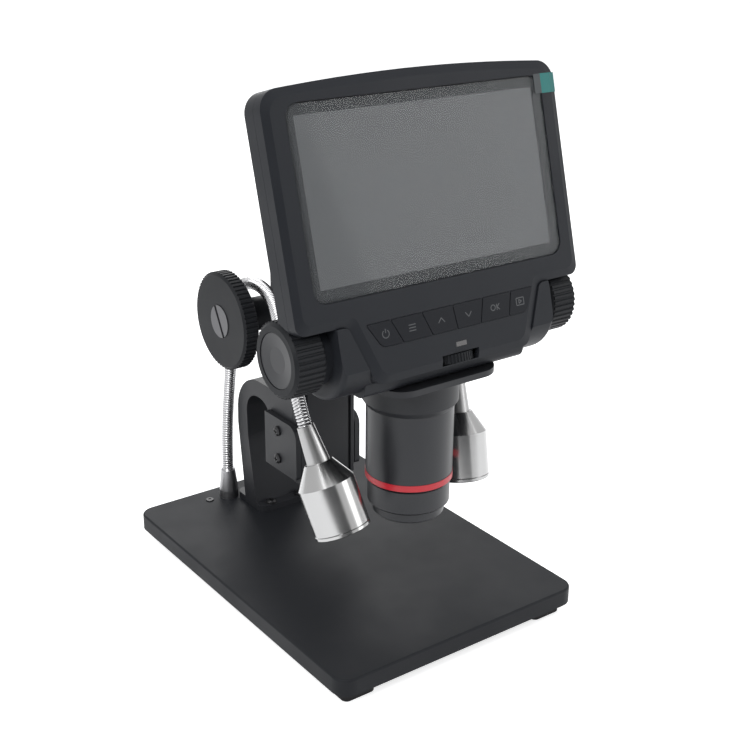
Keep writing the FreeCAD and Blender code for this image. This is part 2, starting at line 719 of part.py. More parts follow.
def rear_shell():
    slab = tilted(prism(slab_outline(0), -SLAB_T, -FRONT_T - SEAM))
    housing = side_prism(housing_outline(0), -HOUSING_HALF, HOUSING_HALF)
    shell = slab.fuse(housing).fuse(boss(1)).fuse(boss(-1))
    front = tilted(prism(head_outline(-0.2), -FRONT_T - SEAM, 5))
    shell = shell.cut(front)
    room = tilted(prism(slab_outline(SHELL_WALL), -SLAB_T + SHELL_WALL, -FRONT_T + 1))
    inner = side_prism(housing_outline(HOUSING_WALL), HOUSING_WALL - HOUSING_HALF, HOUSING_HALF - HOUSING_WALL)
    shell = shell.cut(room).cut(inner)
    shell = shell.fuse(slab.common(knob_space(KNOB_WELL + SHELL_WALL))).cut(knob_space(KNOB_WELL))
    bore = along_x(Part.makeCylinder(FOCUS_SHAFT_R + RUN_CLEAR, 140, V(0, 0, -70)), FOCUS_Y, FOCUS_Z)
    shell = shell.cut(bore)
    well = Part.makeCylinder(TUBE_BORE, 20, V(0, TUBE_Y, HOUSING_LOW - 6))
    shell = shell.cut(well)
    pocket = Part.makeCylinder(DIAL_R + DIAL_GAP, DIAL_T + 2 * DIAL_GAP,
                               V(DIAL_X, DIAL_V - DIAL_T / 2 - DIAL_GAP, DIAL_W), V(0, 1, 0))
    shell = shell.cut(tilted(pocket))
    for x in (-18.0, 18.0):
        shell = shell.fuse(Part.makeCylinder(2.0, PORT_DEPTH - 1, V(x, HOUSING_BACK - 1, 164.0), V(0, -1, 0)))
    for x in (-44.0, 44.0):
        for v in (-20.0, 24.0):
            shell = shell.fuse(tilted(Part.makeCylinder(2.0, 1.2, V(x, v, BOARD_BACK - 1.2))))
    for x, z, w, h in PORTS:
        shell = shell.cut(box(x - w / 2, x + w / 2, HOUSING_BACK - 4, HOUSING_BACK + 1, z - h / 2, z + h / 2))
    return shell.removeSplitter()


PORTS = ((-24.0, 150.0, 12.6, 4.4), (24.0, 150.0, 8.6, 3.6), (24.0, 140.0, 12.6, 2.6))
PORT_DEPTH = 7.0


def port(index):
    """A connector shell in its cut-out, open to the back."""
    x, z, w, h = PORTS[index]
    g = 0.25
    depth = PORT_DEPTH
    body = box(x - w / 2 + g, x + w / 2 - g, HOUSING_BACK - depth, HOUSING_BACK - 0.3, z - h / 2 + g, z + h / 2 - g)
    inner = box(x - w / 2 + g + 0.5, x + w / 2 - g - 0.5, HOUSING_BACK - depth + 1, HOUSING_BACK + 1,
                z - h / 2 + g + 0.5, z + h / 2 - g - 0.5)
    return body.cut(inner)


def port_board():
    """Upright board that carries the sockets."""
    back = HOUSING_BACK - PORT_DEPTH
    board = box(-33.0, 33.0, back - 1.6, back, 134.0, 170.0)
    for index in range(len(PORTS)):
        board = board.fuse(port(index))
    return board


def rear_screws():
    """Screws at the back of the slab's corners."""
    heads = []
    for x in (-58.0, 58.0):
        for v in (-36.0, 30.0):
            heads.append(tilted(screw_head(2.0, 1.2, x, v, -SLAB_T, (0, 0, -1))))
    return Part.makeCompound(heads)


# Screen

def screen_glass():
    return tilted(prism(glass_outline(0), -GLASS_T, 0))


def lcd_panel():
    half_w = ACTIVE_W / 2
    half_h = ACTIVE_H / 2
    return tilted(box(-half_w, half_w, -half_h, half_h, -GLASS_T - LCD_T, -GLASS_T))


def screen_film():
    """Clear film on the glass, with its pull tab at the top right corner."""
    film = prism(rectangle(GLASS_LEFT + 1, GLASS_RIGHT - 0.6, GLASS_LOW + 1, GLASS_TOP - 0.6, 4), 0, FILM_T)
    return tilted(film)


def film_tab():
    """Coloured pull tab stuck to the film and laid over the head's right edge."""
    slope = math.hypot(BEVEL_W, BEVEL_D)
    edge = HEAD_HALF - BEVEL_W
    flat = box(TAB_START, edge, TAB_V0, TAB_V1, FILM_T, 2 * FILM_T)
    bevel = [(edge, FILM_T), (edge + 0.0, 2 * FILM_T), (HEAD_HALF + FILM_T, 2 * FILM_T - BEVEL_D),
             (HEAD_HALF + FILM_T, FILM_T - BEVEL_D - 0.05 * slope)]
    wire = Part.makePolygon([V(x, TAB_V0, w) for x, w in bevel] + [V(bevel[0][0], TAB_V0, bevel[0][1])])
    sloped = Part.Face(wire).extrude(V(0, TAB_V1 - TAB_V0, 0))
    side = box(HEAD_HALF + 0.02, HEAD_HALF + 0.02 + FILM_T, TAB_V0, TAB_V1, -BEVEL_D - 3.2, -BEVEL_D)
    return tilted(flat.fuse(sloped).fuse(side))


def main_board():
    """Main board with its chips and a shield can."""
    board = box(-50, 50, -26, 30, BOARD_BACK, BOARD_BACK + 1.6)
    for x, v, w, h, t in ((-18, 6, 14, 14, 0.6), (6, 8, 9, 9, 0.6), (22, -8, 8, 6, 0.6), (-36, -10, 10, 8, 0.6)):
        board = board.fuse(box(x - w / 2, x + w / 2, v - h / 2, v + h / 2, BOARD_BACK - t, BOARD_BACK))
    return tilted(board)


def switch_board():
    """Board behind the buttons, with one dome switch under each."""
    deep = -FRONT_T - BUTTON_TRAVEL - PRESS_GAP
    pieces = [box(-BOARD_HALF, BOARD_HALF, ROW_LOW - 4, ROW_TOP + 1, deep - 2.6, deep - 1.0)]
    for index in range(BUTTONS):
        x, v = button_middle(index)
        pieces.append(Part.makeCylinder(1.8, 1.0, V(x, v, deep - 1.0)))
    board = pieces[0]
    for piece in pieces[1:]:
        board = board.fuse(piece)
    return tilted(board)


def button_middle(index):
    x = (ROW_EDGES_TOP[index] + ROW_EDGES_TOP[index + 1] + ROW_EDGES_LOW[index] + ROW_EDGES_LOW[index + 1]) / 4
    return x, (ROW_TOP + ROW_LOW) / 2


def button(index):
    """One key cap with a short stem over its switch."""
    cap = prism(button_outline(index, 0), -3.6, BUTTON_PROUD)
    x, v = button_middle(index)
    stem = Part.makeCylinder(1.7, FRONT_T - 3.6 + 0.2, V(x, v, -FRONT_T))
    return tilted(cap.fuse(stem))


def brightness_dial():
    """Edge wheel for the lamps' brightness, with the axle it turns on."""
    disc = ridged(DIAL_R, 0.4, DIAL_RIDGES, -DIAL_T / 2, DIAL_T / 2)
    axle = Part.makeCylinder(DIAL_AXLE, DIAL_T + 2.0, V(0, 0, -DIAL_T / 2 - 2.0))
    dial = disc.fuse(axle)
    dial.rotate(V(0, 0, 0), V(1, 0, 0), 90)
    dial.translate(V(DIAL_X, DIAL_V, DIAL_W))
    return tilted(dial)


# Focus drive

def focus_knob(side):
    """Knurled knob with a dished face and a round seat for its cap."""
    length = KNOB_OUT - KNOB_IN
    body = ridged(KNOB_R, KNOB_RIDGE, KNOB_RIDGES, 0.8, length - 1.2)
    inner = Part.makeCone(KNOB_R - 1.2, KNOB_R - 0.5, 0.8)
    outer = Part.makeCone(KNOB_R - 0.5, KNOB_R - 1.6, 1.2, V(0, 0, length - 1.2))
    knob = body.fuse(inner).fuse(outer)
    knob = knob.cut(Part.makeCylinder(KNOB_CAP_R + 0.15, KNOB_DISH, V(0, 0, length - KNOB_DISH)))
    knob = knob.cut(Part.makeCylinder(FOCUS_SHAFT_R, length))
    knob = at(along_x(knob.removeSplitter(), FOCUS_Y, FOCUS_Z), KNOB_IN, 0, 0)
    if side < 0:
        knob = knob.mirror(V(0, 0, 0), V(1, 0, 0))
    return knob


def knob_caps():
    """Dished discs pressed into the faces of both knobs."""
    low = KNOB_OUT - KNOB_DISH
    cap = Part.makeCylinder(KNOB_CAP_R, KNOB_DISH - 0.3, V(0, 0, low))
    cap = cap.cut(Part.makeCone(5.0, KNOB_CAP_R - 0.4, 0.6, V(0, 0, KNOB_OUT - 0.9)))
    cap = along_x(cap, FOCUS_Y, FOCUS_Z)
    return Part.makeCompound([cap, cap.mirror(V(0, 0, 0), V(1, 0, 0))])


def focus_shaft():
    """Shaft across the head with the pinion that moves the lens barrel."""
    reach = KNOB_OUT - KNOB_DISH
    shaft = along_x(Part.makeCylinder(FOCUS_SHAFT_R, 2 * reach, V(0, 0, -reach)), 0, 0)
    gear = along_x(involute_pinion(FOCUS_MODULE, FOCUS_TEETH, 5.0, FOCUS_SHAFT_R - 0.5), 0, 0)
    gear.rotate(V(0, 0, 0), V(1, 0, 0), 180)
    return at(shaft.fuse(gear), 0, FOCUS_Y, FOCUS_Z)


# Lens tube

def turned_at_tube(points):
    return at(turned(points), 0, TUBE_Y, 0)


def tube_flange():
    """Plate under the head that the lens tube hangs from."""
    plate = prism(rectangle(-FLANGE_HALF_X, FLANGE_HALF_X, FLANGE_FRONT, FLANGE_REAR, 10), FLANGE_LOW, HOUSING_LOW)
    return plate.cut(Part.makeCylinder(TUBE_R + 0.05, 10, V(0, TUBE_Y, FLANGE_LOW - 2)))


def tube_collar():
    inner = TUBE_R + 0.05
    return turned_at_tube([(inner, COLLAR_LOW - COLLAR_TAPER), (COLLAR_R, COLLAR_LOW), (COLLAR_R, FLANGE_LOW),
                           (inner, FLANGE_LOW)])


def lens_tube():
    """Tube from the head to the coloured ring, with the ring's seat turned at its lower end."""
    top = HOUSING_LOW
    seat = TUBE_R - 1.2
    ring_top = RING_LOW + RING_T
    return turned_at_tube([(TUBE_BORE, RING_LOW), (seat, RING_LOW), (seat, ring_top), (TUBE_R, ring_top),
                           (TUBE_R, top), (TUBE_BORE, top)])


def accent_ring():
    outer = TUBE_R + RING_PROUD
    inner = TUBE_R - 1.2
    return turned_at_tube([(inner, RING_LOW), (outer, RING_LOW), (outer, RING_LOW + RING_T), (inner, RING_LOW + RING_T)])


def tube_nose():
    return turned_at_tube([(TUBE_BORE, NOSE_LOW + 1.0), (NOSE_R - 0.8, NOSE_LOW), (NOSE_R, NOSE_LOW + 0.8),
                           (NOSE_R, RING_LOW - 1.4), (TUBE_R, RING_LOW), (TUBE_BORE, RING_LOW)])


def end_ring():
    """Threaded ring that holds the front window."""
    seat = END_LOW + 1.6
    return turned_at_tube([(END_BORE, END_LOW), (END_R - 0.6, END_LOW), (END_R, END_LOW + 0.6), (END_R, NOSE_LOW + 0.9),
                           (TUBE_BORE - 0.05, NOSE_LOW + 1.1), (TUBE_BORE - 0.05, NOSE_LOW + 3),
                           (END_BORE + 1.4, NOSE_LOW + 3), (END_BORE + 1.4, seat), (END_BORE, seat)])


def front_glass():
    low = END_LOW + 1.6
    return at(Part.makeCylinder(END_BORE + 1.3, FRONT_GLASS_T), 0, TUBE_Y, low)


def lens_barrel():
    """Moving cell with a stem that carries the focus rack."""
    cell = turned([(LENS_R, BARREL_LOW), (BARREL_R, BARREL_LOW), (BARREL_R, BARREL_HIGH), (STEM_HALF, BARREL_HIGH + 4),
                   (0, BARREL_HIGH + 4), (0, BARREL_HIGH - 6), (LENS_R, BARREL_HIGH - 6)])
    stem = box(-STEM_HALF, STEM_HALF, -STEM_HALF + 0.2, STEM_HALF, BARREL_HIGH + 2, STEM_HIGH)
    return at(cell.fuse(stem).removeSplitter(), 0, TUBE_Y, 0)


def focus_rack():
    pitch = math.pi * FOCUS_MODULE
    pitch_y = FOCUS_Y + FOCUS_MODULE * FOCUS_TEETH / 2
    steps = 7
    first = -steps * pitch
    body = TUBE_Y - STEM_HALF + 0.2 - pitch_y - FOCUS_MODULE
    rack = toothed_rack(FOCUS_MODULE, 2 * steps + 1, 4.4, body, 0, first)
    rack = rack.mirror(V(0, 0, 0), V(0, 1, 0))
    return at(rack, 0, pitch_y, FOCUS_Z)


def lens_elements():
    """Two lenses in the moving cell."""
    lower = at(Part.makeCylinder(LENS_R, 3.0), 0, TUBE_Y, BARREL_LOW + 1.5)
    upper = at(Part.makeCylinder(LENS_R, 2.4), 0, TUBE_Y, BARREL_LOW + 9.0)
    return Part.makeCompound([lower, upper])


def sensor_board():
    """Small board above the cell, on the moving stem."""
    low = BARREL_HIGH - 6 - 1.4
    return at(Part.makeCylinder(LENS_R, 1.4), 0, TUBE_Y, low)


# Lamps

def lamp_sockets():
    """Turned collars on the base that grip the goosenecks' feet."""
    body = turned([(0, BASE_TOP), (SOCKET_R_LOW, BASE_TOP), (SOCKET_R_LOW, BASE_TOP + 4), (SOCKET_R_HIGH, SOCKET_TOP - 0.6),
                   (SOCKET_R_HIGH - 0.5, SOCKET_TOP), (0, SOCKET_TOP)])
    return Part.makeCompound([at(body.copy(), side * SOCKET_X, SOCKET_Y, 0) for side in (-1, 1)])


def hose_line(start, route, pivot, aim):
    """Smooth centre line, upright at the foot and in line with the lamp at its end."""
    points = [V(*start)] + [V(*p) for p in route] + [V(*pivot)]
    curve = Part.BSplineCurve()
    curve.interpolate(Points=points, InitialTangent=V(0, 0, 1), FinalTangent=V(*aim))
    return curve


def ring_at(curve, length, radius):
    """Twelve-sided ring across the line, at a length along it, past its end too."""
    total = curve.length()
    here = curve.parameterAtDistance(min(length, total), curve.FirstParameter)
    along = curve.tangent(here)[0]
    centre = curve.value(here) + along * max(0, length - total)
    side = V(1, 0, 0) - along * along.x
    side.normalize()
    other = along.cross(side)
    points = []
    for i in range(HOSE_SIDES):
        angle = 2 * math.pi * i / HOSE_SIDES
        points.append(centre + side * (radius * math.cos(angle)) + other * (radius * math.sin(angle)))
    return Part.makePolygon(points + points[:1])


def gooseneck(start, route, pivot, aim):
    """Ribbed tube with its bore, ending in the ball that the lamp turns on."""
    curve = hose_line(start, route, pivot, aim)
    total = curve.length()
    ribs = int((total - 5 * HOSE_R) / RIB_PITCH)
    pitch = (total - 5 * HOSE_R) / ribs
    rings = [ring_at(curve, 0, HOSE_ROOT)]
    for i in range(ribs):
        low = 2 * HOSE_R + i * pitch
        for share, radius in ((0.0, HOSE_ROOT), (0.25, HOSE_R), (0.75, HOSE_R)):
            rings.append(ring_at(curve, low + share * pitch, radius))
    for share in (-0.8, -0.4, 0.0, 0.4, 0.8):
        rings.append(ring_at(curve, total + share * HOSE_R, HOSE_R * math.sqrt(1 - share * share)))
    outer = Part.makeLoft(rings, True, True)
    turns = int(total / (2.5 * RIB_PITCH))
    steps = [-0.01] + [(total + HOSE_R) * i / turns for i in range(1, turns + 1)]
    bore = Part.makeLoft([ring_at(curve, max(0, s), HOSE_BORE) for s in steps], True, True)
    print("gooseneck length", round(total, 1), "ribs", ribs)
    return outer.cut(bore)


def lamp_neck(pivot, aim):
    """Smooth cone between the gooseneck and the lamp."""
    cone = Part.makeCone(NECK_TOP_R, NECK_END_R, NECK_LEN)
    cone = cone.cut(Part.makeSphere(HOSE_R + BALL_GAP, V(0, 0, 0)))
    cone = cone.cut(Part.makeCylinder(HOSE_BORE, NECK_LEN))
    return aimed(cone, pivot, aim)


def lamp_shade(pivot, aim):
    """Turned metal cup: cone, straight wall, bezel line and an open mouth."""
    top = NECK_LEN
    end = NECK_LEN + LAMP_LEN
    line = end - LAMP_BEZEL
    inner = LAMP_R - LAMP_WALL
    cup = turned([(HOSE_BORE, top), (LAMP_CAP_R, top), (LAMP_R, top + LAMP_CONE), (LAMP_R, line - 0.25),
                  (LAMP_R - 0.25, line), (LAMP_R, line + 0.25), (LAMP_R, end - 0.3), (LAMP_R - 0.3, end),
                  (inner, end), (inner, top + LAMP_CONE + 3), (HOSE_BORE, top + LAMP_CONE + 3)])
    return aimed(cup, pivot, aim)


def lamp_board(pivot, aim):
    """Round board with its light source, deep in the cup."""
    low = NECK_LEN + LAMP_CONE + 3
    disc = Part.makeCylinder(LAMP_R - LAMP_WALL, LAMP_BOARD_T, V(0, 0, low))
    chip = Part.makeCylinder(1.9, 1.0, V(0, 0, low + LAMP_BOARD_T))
    return aimed(disc.fuse(chip), pivot, aim)


def lamp_lens(pivot, aim):
    """Clear collimating lens that fills the cup behind its mouth."""
    low = NECK_LEN + LAMP_CONE + 3 + LAMP_BOARD_T
    end = NECK_LEN + LAMP_LEN - 1.0
    rim = LAMP_R - LAMP_WALL
    lens = turned([(2.2, low), (2.6, low), (rim, end - LAMP_LENS_T), (rim, end), (0, end), (0, low + 1.4),
                   (2.2, low + 1.4)])
    return aimed(lens, pivot, aim)


LAMPS = {"left": (-1, LEFT_ROUTE, LEFT_PIVOT, LEFT_AIM), "right": (1, RIGHT_ROUTE, RIGHT_PIVOT, RIGHT_AIM)}


def build():
    export("base_plate", base_plate())
    export("rubber_feet", rubber_feet())
    export("power_inlet", power_inlet())
    export("bracket", bracket())
    export("stand_screws", stand_screws())
    export("clamp_cheeks", clamp_cheeks())
    export("guide_post", guide_post())
    export("post_cap", post_cap())
    export("height_wheel", height_wheel())
    export("wheel_cap", wheel_cap())
    export("height_shaft", height_shaft())
    export("slide_rail", slide_rail())
    export("height_rack", height_rack())
    export("head_arm", head_arm())
    export("front_shell", front_shell())
    export("rear_shell", rear_shell())
    export("indicator_window", indicator_window())
    export("rear_screws", rear_screws())
    export("screen_glass", screen_glass())
    export("lcd_panel", lcd_panel())
    export("screen_film", screen_film())
    export("film_tab", film_tab())
    export("main_board", main_board())
    export("switch_board", switch_board())
    export("port_board", port_board())
    for index in range(BUTTONS):
        export("button_" + str(index + 1), button(index))
    export("brightness_dial", brightness_dial())
    export("focus_shaft", focus_shaft())
    for name, side in (("left", -1), ("right", 1)):
        export("focus_knob_" + name, focus_knob(side))
    export("knob_caps", knob_caps())
    export("tube_flange", tube_flange())
    export("tube_collar", tube_collar())
    export("lens_tube", lens_tube())
    export("accent_ring", accent_ring())
    export("tube_nose", tube_nose())
    export("end_ring", end_ring())
    export("front_glass", front_glass())
    export("lens_barrel", lens_barrel())
    export("focus_rack", focus_rack())
    export("lens_elements", lens_elements())
    export("sensor_board", sensor_board())
    export("lamp_sockets", lamp_sockets())
    for name, (side, route, pivot, aim) in LAMPS.items():
        start = (side * SOCKET_X, SOCKET_Y, SOCKET_TOP)
        export("gooseneck_" + name, gooseneck(start, route, pivot, aim))
        export("lamp_neck_" + name, lamp_neck(pivot, aim))
        export("lamp_shade_" + name, lamp_shade(pivot, aim))
        export("lamp_board_" + name, lamp_board(pivot, aim))
        export("lamp_lens_" + name, lamp_lens(pivot, aim))


build()
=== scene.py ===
# %% [markdown]
# # Desktop digital microscope
# A head with a screen and a lens tube rides on a post. Two lamps on goosenecks light the base.
# The CAD model is already packed as a frame of pieces on moving bodies, and its shapes stay as they
# are. Here the frame gets surfaces, finer goosenecks, the layers of the screen, the key signs,
# lights and a camera. World lengths are in metres.

# %% Load the frame
import json
import math

import bpy
import numpy as np
from mathutils import Matrix, Vector


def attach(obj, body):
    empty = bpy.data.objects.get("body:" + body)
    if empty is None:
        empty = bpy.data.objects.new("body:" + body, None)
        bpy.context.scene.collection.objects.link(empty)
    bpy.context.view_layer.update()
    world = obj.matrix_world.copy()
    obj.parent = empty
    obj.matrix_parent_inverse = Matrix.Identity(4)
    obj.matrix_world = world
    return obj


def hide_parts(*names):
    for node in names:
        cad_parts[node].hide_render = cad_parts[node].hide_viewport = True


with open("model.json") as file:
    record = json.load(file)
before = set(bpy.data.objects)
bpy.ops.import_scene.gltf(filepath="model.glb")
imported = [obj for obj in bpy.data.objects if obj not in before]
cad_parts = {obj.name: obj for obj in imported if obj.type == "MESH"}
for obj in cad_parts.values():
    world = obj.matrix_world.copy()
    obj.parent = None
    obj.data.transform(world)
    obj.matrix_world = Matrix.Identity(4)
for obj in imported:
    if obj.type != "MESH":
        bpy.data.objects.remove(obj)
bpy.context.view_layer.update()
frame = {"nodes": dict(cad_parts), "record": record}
nodes = frame["nodes"]

# %% [markdown]
# ## The head's own axes
# The screen leans back, so its layers and the key signs are awkward to give in world axes. They
# are given in the head's own: x to the right, v up the screen and w out of it, in millimetres.
# An object could be turned instead, but the export wants every object at the origin, unturned.
# So one helper turns each point, and the place ends up in the mesh.

# %% Points on the face of the head
MM = 0.001
TILT = math.radians(15.4)
FACE_ORIGIN = Vector((0.0, -56.5, 191.9)) * MM
FACE_V = Vector((0.0, math.sin(TILT), math.cos(TILT)))
FACE_W = Vector((0.0, -math.cos(TILT), math.sin(TILT)))


def on_face(x, v, w):
    """World point, in metres, of a point given in millimetres in the head's own axes."""
    return FACE_ORIGIN + Vector((x, 0, 0)) * MM + FACE_V * (v * MM) + FACE_W * (w * MM)


print("The face starts at", [round(c, 4) for c in on_face(0, 0, 0)])

# %% [markdown]
# ## How a surface is made
# The shells are grained plastic, the base is painted metal, and the lamps and sockets are turned.
# Picture textures could show that, but they need photographs and an unwrapping. Noise on object
# coordinates needs neither, and its grain has the same size on every piece. One tree serves all:
# a broad noise shifts colour and roughness a little, and a fine one gives the bump. A turned piece
# takes its bump from noise along its axis alone, which draws the lathe's rings round it.

# %% The tree behind every surface
BROAD_SCALE = 45.0
BUMP_DEPTH = 0.00003


def noise(tree, scale, detail):
    node = tree.nodes.new("ShaderNodeTexNoise")
    node.inputs["Scale"].default_value = scale
    node.inputs["Detail"].default_value = detail
    return node


def surface(name, colour, rough, metallic=0.0, grain=2500.0, bump=0.15, vary=0.04, uneven=0.05,
            axis=None, lines=0.0, specular=0.5):
    """Principled surface with grain, or with turning lines when an axis is given."""
    material = bpy.data.materials.new(name)
    material.use_nodes = True
    tree = material.node_tree
    link = tree.links.new
    shader = tree.nodes["Principled BSDF"]
    where = tree.nodes.new("ShaderNodeTexCoord").outputs["Object"]
    fine = noise(tree, grain, 3.0)
    link(where, fine.inputs["Vector"])
    broad = noise(tree, BROAD_SCALE, 4.0)
    link(where, broad.inputs["Vector"])
    spread = tree.nodes.new("ShaderNodeMapRange")
    spread.inputs["From Min"].default_value = 0.3
    spread.inputs["From Max"].default_value = 0.7
    spread.inputs["To Min"].default_value = max(0.02, rough - vary)
    spread.inputs["To Max"].default_value = min(1.0, rough + vary)
    link(broad.outputs["Fac"], spread.inputs["Value"])
    link(spread.outputs["Result"], shader.inputs["Roughness"])
    tint = tree.nodes.new("ShaderNodeMix")
    tint.data_type = "RGBA"
    tint.inputs["A"].default_value = [c * (1 - uneven) for c in colour] + [1]
    tint.inputs["B"].default_value = [min(1, c * (1 + uneven)) for c in colour] + [1]
    link(broad.outputs["Fac"], tint.inputs["Factor"])
    link(tint.outputs["Result"], shader.inputs["Base Color"])
    height = fine.outputs["Fac"]
    if axis is not None:
        height = turning_lines(tree, where, axis, lines)
    relief = tree.nodes.new("ShaderNodeBump")
    relief.inputs["Strength"].default_value = bump
    relief.inputs["Distance"].default_value = BUMP_DEPTH
    link(height, relief.inputs["Height"])
    link(relief.outputs["Normal"], shader.inputs["Normal"])
    shader.inputs["Metallic"].default_value = metallic
    shader.inputs["Specular IOR Level"].default_value = specular
    return material


def turning_lines(tree, where, axis, lines):
    """Noise that changes only along the axis, as the cuts of a lathe do."""
    dot = tree.nodes.new("ShaderNodeVectorMath")
    dot.operation = "DOT_PRODUCT"
    dot.inputs[1].default_value = axis
    tree.links.new(where, dot.inputs[0])
    turned = noise(tree, lines, 4.0)
    turned.noise_dimensions = "1D"
    tree.links.new(dot.outputs["Value"], turned.inputs["W"])
    return turned.outputs["Fac"]


# %% [markdown]
# ## Plastic, paint and metal
# The photograph shows four kinds of black: matt paint on the base, grained shells, slightly
# glossier keys and the satin lens tube. They differ mostly in roughness and in how much they
# reflect, so those values are set one by one from the photograph. The metals reflect the white
# room, which makes them look brighter than the colour written here.

# %% Solid finishes
UP = (0.0, 0.0, 1.0)
ACROSS = (1, 0, 0)
BRUSHED_ACROSS = (0, 0.94, 0.34)
FINISHES = (
    ("base", (0.012, 0.013, 0.0155), 0.52, {"grain": 2600, "bump": 0.2, "specular": 0.14}),
    ("rubber", (0.008, 0.008, 0.009), 0.75, {"grain": 1800, "bump": 0.3, "specular": 0.25}),
    ("black_plastic", (0.012, 0.012, 0.014), 0.55, {"specular": 0.35}),
    ("black_metal", (0.018, 0.019, 0.022), 0.48, {"grain": 2200, "bump": 0.2, "specular": 0.3}),
    ("black_screw", (0.02, 0.02, 0.022), 0.35, {"metallic": 0.4}),
    ("knob_plastic", (0.012, 0.013, 0.015), 0.5, {"grain": 3000, "bump": 0.25, "specular": 0.14}),
    ("satin_metal", (0.10, 0.10, 0.105), 0.38, {"metallic": 0.9, "axis": BRUSHED_ACROSS, "lines": 2500}),
    ("steel", (0.55, 0.55, 0.57), 0.3, {"metallic": 1.0, "axis": ACROSS, "lines": 3000}),
    ("brass", (0.62, 0.46, 0.2), 0.35, {"metallic": 1.0, "axis": UP, "lines": 2500}),
    ("shell_plastic", (0.016, 0.0175, 0.021), 0.46, {"grain": 3200, "bump": 0.25, "specular": 0.14}),
    ("smoked", (0.010, 0.006, 0.008), 0.12, {}),
    # The panel's light grey is painted reflection: it stands in for the white room mirrored in the
    # screen glass.
    ("lcd", (0.115, 0.12, 0.126), 0.3, {"bump": 0.0, "vary": 0.0, "uneven": 0.0}),
    ("border_print", (0.040, 0.043, 0.046), 0.4, {"bump": 0.0, "uneven": 0.0, "specular": 0.2}),
    ("tab", (0.0, 0.135, 0.125), 0.4, {"bump": 0.1, "specular": 0.3}),
    ("board", (0.01, 0.11, 0.05), 0.35, {}),
    ("button", (0.012, 0.013, 0.016), 0.42, {"grain": 3600, "bump": 0.2, "specular": 0.1}),
    ("cap_plastic", (0.016, 0.017, 0.020), 0.36,
     {"bump": 0.12, "axis": (0, 1, 0), "lines": 1200, "specular": 0.3}),
    ("anodised", (0.016, 0.017, 0.020), 0.36,
     {"metallic": 0.3, "axis": UP, "lines": 2600, "bump": 0.2}),
    ("red_ring", (0.50, 0.010, 0.022), 0.36, {"axis": UP, "lines": 2200, "bump": 0.12}),
    ("socket_metal", (0.34, 0.34, 0.35), 0.34, {"metallic": 1.0, "axis": UP, "lines": 2000}),
    ("hose_metal", (0.52, 0.52, 0.53), 0.24, {"metallic": 1.0, "grain": 1500, "bump": 0.1}),
    ("led_board", (0.62, 0.60, 0.52), 0.5, {}),
    ("mark", (0.055, 0.058, 0.062), 0.5, {"bump": 0.1}),
)
SURFACES = {}
for name, colour, rough, more in FINISHES:
    SURFACES[name] = surface(name, colour, rough, **more)
print("Solid finishes:", len(SURFACES))

# %% [markdown]
# ## Glass and film
# The screen glass, its film and the lenses are clear. True refraction would be right for thick
# glass, but on thin flat layers it only adds noise and darkens what lies below. A low alpha with
# a full reflection on top shows the panel plainly and still catches the light.

# %% Clear finishes
CLEAR_FINISHES = (
    ("smoked_glass", (0.03, 0.033, 0.037), 0.12, 0.05, 0.5),
    ("clear_film", (0.5, 0.52, 0.53), 0.02, 0.12, 0.0),
    ("lens_glass", (0.25, 0.3, 0.33), 0.35, 0.03, 0.5),
    ("lamp_glass", (0.6, 0.62, 0.63), 0.35, 0.05, 0.5),
)
for name, colour, share, rough, specular in CLEAR_FINISHES:
    glass = surface(name, colour, rough, vary=0.0, bump=0.0, uneven=0.0, specular=specular)
    glass.node_tree.nodes["Principled BSDF"].inputs["Alpha"].default_value = share
    SURFACES[name] = glass
print("Clear finishes:", len(CLEAR_FINISHES))

# %% [markdown]
# ## Polished lamps
# Each lamp is turned from bar and points its own way, so its turning lines run about its own aim.
# The neck and shade are polished to a satin or a bright finish. One pair of finishes could not
# serve both lamps, because the lines would cross one of them at a slant.

# %% Lamp finishes
AIMS = {"left": (0.137, -0.383, -0.913), "right": (-0.065, -0.23, -0.971)}
LAMP_FINISHES = (("lamp_satin", 0.35, 0.32), ("lamp_chrome", 0.40, 0.2))
for side, aim in AIMS.items():
    for kind, shine, rough in LAMP_FINISHES:
        name = kind + "_" + side
        SURFACES[name] = surface(name, (shine,) * 3, rough, metallic=1.0, axis=aim, lines=2400)
print("All finishes:", len(SURFACES))

# %% [markdown]
# ## The film's pull tab
# The tab at the top right corner is coloured only at its outer end. Left of that it is clear film
# over the dark glass. The solid is one strip, so a step on x in its own material parts the two.

# %% Two colours on the tab
TAB_EDGE_X = 0.0595
TAB_CLEAR_COLOUR = (0.035, 0.042, 0.045, 1)


def colour_beyond(material, edge, colour_before):
    """Keep the material's colour where x is over the edge, and use the other one before it."""
    tree = material.node_tree
    link = tree.links.new
    where = tree.nodes.new("ShaderNodeTexCoord")
    apart = tree.nodes.new("ShaderNodeSeparateXYZ")
    link(where.outputs["Object"], apart.inputs[0])
    beyond = tree.nodes.new("ShaderNodeMath")
    beyond.operation = "GREATER_THAN"
    beyond.inputs[1].default_value = edge
    link(apart.outputs["X"], beyond.inputs[0])
    both = tree.nodes.new("ShaderNodeMix")
    both.data_type = "RGBA"
    both.inputs["A"].default_value = colour_before
    shader = tree.nodes["Principled BSDF"]
    link(shader.inputs["Base Color"].links[0].from_socket, both.inputs["B"])
    link(beyond.outputs[0], both.inputs["Factor"])
    link(both.outputs["Result"], shader.inputs["Base Color"])


colour_beyond(SURFACES["tab"], TAB_EDGE_X, TAB_CLEAR_COLOUR)
print("The tab is coloured from x =", TAB_EDGE_X)

# %% [markdown]
# ## Surfaces on the CAD pieces
# Every CAD piece names its material slot in the record. Where a finish exists for its side, as on
# the lamps, the piece takes that one. The meshes already point the right way and are left alone.

